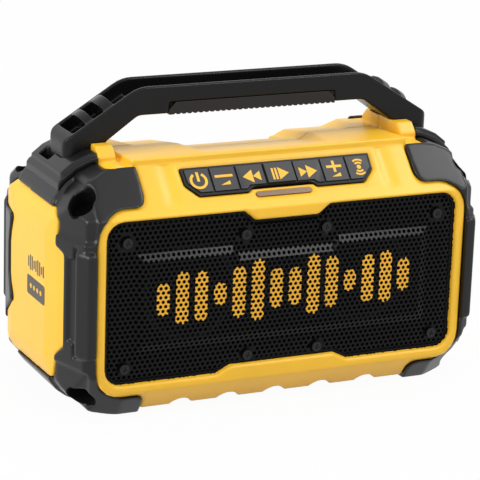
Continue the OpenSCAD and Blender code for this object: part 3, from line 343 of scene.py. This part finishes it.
def in_print(x, z):
    k = round(x / BAR_PITCH + (BAR_COUNT - 1) / 2)
    if not 0 <= k < BAR_COUNT:
        return False
    dx = x - (k - (BAR_COUNT - 1) / 2) * BAR_PITCH
    dz = max(0, abs(z - BAR_Z) - bar_half_height(k) + BAR_HALF_W)
    return math.hypot(dx, dz) < BAR_HALF_W


# Grille: a sheet of six-sided cells with a round hole each, but none at the screws
HOLE_PITCH = 3.5
HOLE_R = 1.18
WEB_R = 1.6
SHEET = 1.0
FIRST_ROW = 1.6
ROWS = range(-1, 37)
COLUMNS = range(-37, 38)
FIELD_INSET = 2.5
NO_HOLE_R = 5.6
CELL_POINTS = 12

# Rings of the sheet's border: inset from the opening, and place behind the edge's front
BORDER = [(0.5, 0.5), (0.5, 0), (0.8, -0.15), (1.8, -0.15), (1.9, 0.3)]


def make_grille():
    row = HOLE_PITCH * math.sin(math.radians(60))
    field = opening(FIELD_INSET)
    step = 360 // CELL_POINTS
    turns = [math.radians(step * k) for k in range(CELL_POINTS)]
    cell = [HOLE_PITCH / 2, HOLE_PITCH / math.sqrt(3)] * (CELL_POINTS // 2)
    hole = [HOLE_R] * CELL_POINTS
    verts, faces, paints = [], [], []

    def ring(c, radii, back=0.0):
        """Adds a ring of points round c and returns their numbers."""
        start = len(verts)
        for t, r in zip(turns, radii):
            x, z = c.x + r * math.cos(t), c.y + r * math.sin(t)
            verts.append(Vector((x, grille_y(x, z) + back, z)) * MM)
        return list(range(start, len(verts)))

    for j in ROWS:
        for i in COLUMNS:
            c = Vector(((i + (j % 2) / 2) * HOLE_PITCH, OPENING_Z0 + FIRST_ROW + j * row))
            if not inside(c, field):
                continue
            rim = ring(c, cell)
            if min(math.hypot(c.x - sx, c.y - sz) for sx, sz in GRILLE_SCREWS) < NO_HOLE_R:
                faces.append(rim)
                paints.append(0)
                continue
            lip = ring(c, hole)
            back = ring(c, hole, SHEET)
            for k in range(CELL_POINTS):
                n = (k + 1) % CELL_POINTS
                t = turns[k] + math.radians(step / 2)
                mid = Vector((c.x + WEB_R * math.cos(t), c.y + WEB_R * math.sin(t)))
                faces.append([rim[k], rim[n], lip[n], lip[k]])
                paints.append(1 if in_print(mid.x, mid.y) else 0)
                faces.append([lip[k], lip[n], back[n], back[k]])
                paints.append(0)
    obj = mesh_object("grille_sheet", verts, faces)
    take_material(obj, grille_black)
    obj.data.materials.append(grille_print)
    obj.data.polygons.foreach_set("material_index", paints)
    obj.data.update()
    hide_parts("grille")
    place(obj, "speaker_body")

    # Plain border of the sheet, turned back at its edge
    edge_y = GRILLE_FRONT + EDGE_DROP
    verts = [Vector((p.x, edge_y + behind, p.y)) * MM for g, behind in BORDER for p in opening(g)]
    n = len(verts) // len(BORDER)
    faces = [[r * n + i, r * n + (i + 1) % n, (r + 1) * n + (i + 1) % n, (r + 1) * n + i]
             for r in range(len(BORDER) - 1) for i in range(n)]
    obj = mesh_object("grille_border", verts, faces)
    take_material(obj, grille_black)
    place(obj, "speaker_body")


# Flat shapes for symbols and graphics
PRINT_SINK = 0.15


def arc_band(r, width, a0, a1, steps=20):
    angles = [math.radians(a0 + (a1 - a0) * k / steps) for k in range(steps + 1)]
    outer = [((r + width / 2) * math.cos(a), (r + width / 2) * math.sin(a)) for a in angles]
    inner = [((r - width / 2) * math.cos(a), (r - width / 2) * math.sin(a)) for a in reversed(angles)]
    return outer + inner


def bar(x0, y0, x1, y1):
    return [(x0, y0), (x1, y0), (x1, y1), (x0, y1)]


def triangle(x, width, height, way):
    return [(x - way * width / 2, -height / 2), (x + way * width / 2, 0), (x - way * width / 2, height / 2)]


def wedge(y):
    return [(-3.4, y), (3.4, y), (3.4, y + 2.8)]


def disc(x, r, steps=12):
    angles = [math.radians(360 / steps * k) for k in range(steps)]
    return [(x + r * math.cos(a), r * math.sin(a)) for a in angles]


def raised(name, node, shapes, to_part, spot, proud, mat):
    """Flat shapes printed on a node, given in a plane's coordinates from a spot on it."""
    work = bmesh.new()
    lift = to_part.to_3x3() @ Vector((0, 0, (proud + PRINT_SINK) * MM))
    for shape in shapes:
        base = [work.verts.new(to_part @ ((spot + Vector((x, y, -PRINT_SINK))) * MM)) for x, y in shape]
        lifted = bmesh.ops.extrude_face_region(work, geom=[work.faces.new(base)])
        upper = [v for v in lifted["geom"] if isinstance(v, bmesh.types.BMVert)]
        bmesh.ops.translate(work, vec=lift, verts=upper)
    bmesh.ops.recalc_face_normals(work, faces=work.faces)
    mesh = bpy.data.meshes.new(name)
    work.to_mesh(mesh)
    work.free()
    obj = new_object(name, mesh)
    take_material(obj, mat)
    place(obj, nodes[node]["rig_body"])


# Symbols on the keys
SYMBOL_PROUD = 0.07
SYMBOLS = {
    "key_power": [arc_band(5.2, 1.8, 122, 418), bar(-0.9, -0.6, 0.9, 6.2)],
    "key_volume_down": [bar(-6.2, 1.1, 6.2, 2.9), wedge(-4.4)],
    "key_previous": [triangle(-2.5, 7.2, 9.4, -1), triangle(3.8, 5.2, 7, -1)],
    "key_play": [bar(-5.9, -4.2, -4.5, 4.2), bar(-3.6, -4.2, -2.2, 4.2), triangle(2.4, 7.2, 9, 1)],
    "key_next": [triangle(-3.8, 5.2, 7, 1), triangle(2.5, 7.2, 9.4, 1)],
    "key_volume_up": [bar(-5.4, 1.1, 5.4, 2.9), bar(-0.9, 2.92, 0.9, 6.2), bar(-0.9, -2.2, 0.9, 1.08),
                      wedge(-5.6)],
    "key_pairing": [arc_band(0.8, 1.5, 0, 360), arc_band(3.2, 1.3, 45, 135), arc_band(5.4, 1.3, 52, 128),
                    arc_band(3.2, 1.3, 225, 315), arc_band(5.4, 1.3, 232, 308)],
}


def panel_frame():
    """Panel coordinates to the part's frame: x along the strip, y up the slope, z out of the panel."""
    up = Vector((0, math.cos(PANEL_TILT), math.sin(PANEL_TILT)))
    out = Vector((0, -math.sin(PANEL_TILT), math.cos(PANEL_TILT)))
    origin = (PANEL_FOOT + up * KEYS_UP_PANEL) * MM
    return Matrix(((1, up.x, out.x, origin.x),
                   (0, up.y, out.y, origin.y),
                   (0, up.z, out.z, origin.z),
                   (0, 0, 0, 1)))


def make_symbols():
    to_part = panel_frame()
    for key, shapes in SYMBOLS.items():
        top = KEY_BASE + KEY_RISE * (PLAY_FACTOR if key == "key_play" else 1)
        spot = Vector((KEY_X[key], 0, top))
        raised(key + "_symbol", key, shapes, to_part, spot, SYMBOL_PROUD, icon_paint)


# Graphic on the left end panel: a row of level bars over a dark badge with dots
GRAPHIC_PROUD = 0.06
BADGE_PROUD = 0.05
GRAPHIC_X = -1
LEVELS_Z = 88.5
LEVEL_COUNT = 9
LEVEL_PITCH = 3.4
LEVEL_HALF_W = 1.1
BADGE_Z = 73
BADGE_R = 2
DOT_COUNT = 4
DOT_START = 4.5
DOT_PITCH = 6
DOT_R = 1.7


def make_end_graphic():
    to_part = Matrix(((0, 0, -1, END_FACE_X * MM), (-1, 0, 0, 0), (0, 1, 0, 0), (0, 0, 0, 1)))
    levels = []
    for k in range(LEVEL_COUNT):
        half = 2 + 3.2 * abs(math.sin(0.5 + 0.8 * k))
        x = LEVEL_PITCH * k
        levels.append(bar(x - LEVEL_HALF_W, -half, x + LEVEL_HALF_W, half))
    corners = [Vector(c) for c in bar(-2.5, -6.5, 29.5, 6.5)]
    badge = [tuple(c) for c in rounded(corners, [BADGE_R] * 4)]
    dots = [disc(DOT_START + DOT_PITCH * k, DOT_R) for k in range(DOT_COUNT)]
    for name, shapes, spot, proud, mat in (
            ("end_graphic_bars", levels, (GRAPHIC_X, LEVELS_Z, 0), GRAPHIC_PROUD, label_ink),
            ("end_graphic_badge", [badge], (GRAPHIC_X, BADGE_Z, 0), BADGE_PROUD, label_ink),
            ("end_graphic_dots", dots, (GRAPHIC_X, BADGE_Z, BADGE_PROUD), GRAPHIC_PROUD, icon_paint)):
        raised(name, "left_end_panel", shapes, to_part, Vector(spot), proud, mat)


# Dip in the control panel at both sides of the key strip and under it
DIP_DEPTH = 0.9
DIP_HALF_W = 83
DIP_FOOT = -17.5
DIP_TOP = 14
DIP_SKIN = 1
DIP_OUTER_RUN = 5
DIP_INNER_RUN = 4
STRIP_HALF_W = 70
STRIP_FOOT = -11
STRIP_MARGIN = 1.5


def dip_round_keys(skin):
    """Lowers the skin of the control panel softly round the key strip."""
    from_part = panel_frame().inverted()
    out = panel_frame().to_3x3() @ Vector((0, 0, 1))
    for vert in skin.data.vertices:
        p = from_part @ vert.co / MM
        if abs(p.z) < DIP_SKIN and p.y < DIP_TOP:
            within = min(DIP_HALF_W - abs(p.x), p.y - DIP_FOOT)
            clear = max(abs(p.x) - STRIP_HALF_W, STRIP_FOOT - p.y) - STRIP_MARGIN
            fall = smooth_step(within / DIP_OUTER_RUN) * smooth_step(clear / DIP_INNER_RUN)
            vert.co -= out * DIP_DEPTH * MM * fall


def paint_shade_in_holes(boot):
    """Paints shade on the depths of a boot's lashing holes by giving those faces the dark cloth black."""
    boot.data.materials.append(cloth_black_and_hole_shade)
    for face in boot.data.polygons:
        c = face.center / MM
        for spot, way in LASH_HOLES:
            axis = Vector(way).normalized()
            reach = Vector((abs(c.x), c.y, c.z)) - Vector(spot)
            depth = -reach.dot(axis)
            if depth > HOLE_SHADE_DEPTH and (reach + axis * depth).length < LASH_R + HOLE_SHADE_SLACK:
                face.material_index = 1


def darken_well(skin):
    """Gives the space behind the grille the black of its lining."""
    skin.data.materials.append(cloth_black_and_hole_shade)
    edge = opening(0.2)
    for face in skin.data.polygons:
        c = face.center / MM
        if WELL_FRONT < c.y < WELL_BACK and inside(Vector((c.x, c.z)), edge):
            face.material_index = 1


# Housing, boots and handle, with voxel size in millimetres, rounds of smoothing and share of faces kept
front = soften("front_housing", yellow, 0.8, 5, 0.35)
soften("rear_housing", yellow, 0.9, 5, 0.3)
for side in ("left", "right"):
    soften(side + "_end_panel", yellow, 0.7, 12, 0.4)
    paint_shade_in_holes(soften(side + "_bumper", rubber, 0.6, 40, 0.25))
    soften(side + "_handle_collar", rubber, 0.5, 16, 0.4)
soften("handle", handle_black, 0.6, 14, 0.4)
soften("handle_grip", soft_black, 0.4, 3, 0.5)
darken_well(front)
make_grille()
make_symbols()
make_end_graphic()
dip_round_keys(front)

# Smaller pieces keep their CAD form, some with rounded edges
for key in SYMBOLS:
    bevel(key, key_rubber, 0.45)
bevel("keypad_frame", soft_black, 0.3)
bevel("status_window", smoked, 0.25)
bevel("grille_screws", dark_steel, 0.35, 50)
bevel("battery_case", handle_black, 0.9)
bevel("battery_latch", soft_black, 0.3)
bevel("port_cover", soft_black, 0.35)
bevel("battery_dock", handle_black, 0.3)
plain = {
    "housing_screws": dark_steel, "handle_screws": steel, "driver_screws": steel, "board_screws": steel,
    "aux_jack": handle_black, "dc_jack": handle_black, "tact_switches": handle_black,
    "keypad_board": board_green, "main_board": board_green, "battery_cells": cell_film,
    "driver_gaskets": soft_black, "housing_seal": soft_black,
}
for side in ("left", "right"):
    plain.update({
        side + "_driver_basket": handle_black, side + "_driver_magnet": iron,
        side + "_driver_cone": cloth_black_and_hole_shade, side + "_driver_surround": soft_black,
        side + "_driver_spider": cloth_black_and_hole_shade, side + "_voice_coil": copper,
    })
for node, mat in plain.items():
    take_material(nodes[node], mat)

# A copy of the latch's spring with a mesh of its own stands for the CAD part; the real spring shortens as
# the latch is pressed
spring = new_object("latch_spring_coil", nodes["latch_spring"].data.copy())
take_material(spring, steel)
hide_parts("latch_spring")
place(spring, nodes["latch_spring"]["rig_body"])
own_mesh(spring)

# Floor and studio dome
FLOOR_SIZE = 8
FLOOR_GREY = 0.62
FLOOR_WHITE = 0.96


def background_rays(tree):
    """One for rays that show the pale background, zero for rays that light the object."""
    path = tree.nodes.new("ShaderNodeLightPath")
    total = path.outputs["Is Camera Ray"]
    for kind in ("Is Glossy Ray", "Is Transmission Ray"):
        either = tree.nodes.new("ShaderNodeMath")
        either.operation = "MAXIMUM"
        tree.links.new(total, either.inputs[0])
        tree.links.new(path.outputs[kind], either.inputs[1])
        total = either.outputs["Value"]
    return total


def make_floor():
    bpy.ops.mesh.primitive_plane_add(size=FLOOR_SIZE)
    floor = bpy.context.object
    floor.name = "studio_floor"
    paint = bpy.data.materials.new("studio_white")
    paint.use_nodes = True
    tree = paint.node_tree
    tree.nodes.clear()
    output = tree.nodes.new("ShaderNodeOutputMaterial")
    mix = tree.nodes.new("ShaderNodeMixShader")
    matt = tree.nodes.new("ShaderNodeBsdfDiffuse")
    matt.inputs["Color"].default_value = (FLOOR_GREY, FLOOR_GREY, FLOOR_GREY, 1)
    glow = tree.nodes.new("ShaderNodeEmission")
    glow.inputs["Color"].default_value = (1, 1, 1, 1)
    share = tree.nodes.new("ShaderNodeMath")
    share.operation = "MULTIPLY"
    share.inputs[1].default_value = FLOOR_WHITE
    tree.links.new(background_rays(tree), share.inputs[0])
    tree.links.new(share.outputs["Value"], mix.inputs["Fac"])
    tree.links.new(matt.outputs["BSDF"], mix.inputs[1])
    tree.links.new(glow.outputs["Emission"], mix.inputs[2])
    tree.links.new(mix.outputs["Shader"], output.inputs["Surface"])
    take_material(floor, paint)


def make_dome():
    """A sky that lights the object from overhead and behind, and that the camera sees as white."""
    world = bpy.data.worlds.new("studio")
    scene.world = world
    world.use_nodes = True
    tree = world.node_tree
    sky = tree.nodes["Background"]
    sky.inputs["Color"].default_value = (1, 1, 1, 1)
    way = tree.nodes.new("ShaderNodeTexCoord")
    split = tree.nodes.new("ShaderNodeSeparateXYZ")
    tree.links.new(way.outputs["Generated"], split.inputs["Vector"])

    def dome_part(axis, start, end, weakest, strongest):
        """Brightness that rises along an axis of the dome."""
        part = tree.nodes.new("ShaderNodeMapRange")
        part.interpolation_type = "SMOOTHSTEP"
        part.inputs["From Min"].default_value = start
        part.inputs["From Max"].default_value = end
        part.inputs["To Min"].default_value = weakest
        part.inputs["To Max"].default_value = strongest
        tree.links.new(split.outputs[axis], part.inputs["Value"])
        return part.outputs["Result"]

    dome = tree.nodes.new("ShaderNodeMath")
    tree.links.new(dome_part("Z", 0.4, 0.95, 0.1, 1.4), dome.inputs[0])
    tree.links.new(dome_part("Y", 0.0, 0.7, 0.0, 0.9), dome.inputs[1])
    level = tree.nodes.new("ShaderNodeMix")
    level.inputs["B"].default_value = 1.0
    tree.links.new(background_rays(tree), level.inputs["Factor"])
    tree.links.new(dome.outputs["Value"], level.inputs["A"])
    tree.links.new(level.outputs["Result"], sky.inputs["Strength"])


make_floor()
make_dome()

# Lamps and camera, both turned to the middle of the picture
CENTRE = Vector((0.00113, 0, 0.0885))
AZIMUTH = math.radians(-25.35)
ELEVATION = math.radians(16.5)
ROLL = math.radians(1.99)
DISTANCE = 1.5879
LENS = 177.7


def area_light(name, spot, size, power):
    light = bpy.data.lights.new(name, "AREA")
    light.energy = power
    light.size = size
    obj = new_object(name, light)
    obj.location = spot
    obj.rotation_euler = (CENTRE - Vector(spot)).to_track_quat("-Z", "Y").to_euler()


area_light("key_light", (-1.5, -0.1, 0.55), 0.6, 10)
area_light("front_light", (-0.75, -1.3, 0.65), 0.3, 2.5)
area_light("fill_light", (0.72, -1.35, 0.97), 0.35, 6)
area_light("side_light", (1.02, -0.41, 1.38), 0.45, 6)

back = Vector((math.sin(AZIMUTH) * math.cos(ELEVATION), -math.cos(AZIMUTH) * math.cos(ELEVATION),
               math.sin(ELEVATION)))
right = Vector((math.cos(AZIMUTH), math.sin(AZIMUTH), 0))
up = back.cross(right)
across = right * math.cos(ROLL) + up * math.sin(ROLL)
above = up * math.cos(ROLL) - right * math.sin(ROLL)
eye = CENTRE + back * DISTANCE
camera = bpy.data.cameras.new("camera")
camera.sensor_width = 36
camera.lens = LENS
camera.clip_end = 50
viewer = new_object("camera", camera)
viewer.matrix_world = Matrix(((across.x, above.x, back.x, eye.x),
                              (across.y, above.y, back.y, eye.y),
                              (across.z, above.z, back.z, eye.z),
                              (0, 0, 0, 1)))
scene.camera = viewer
scene.view_settings.view_transform = "Standard"
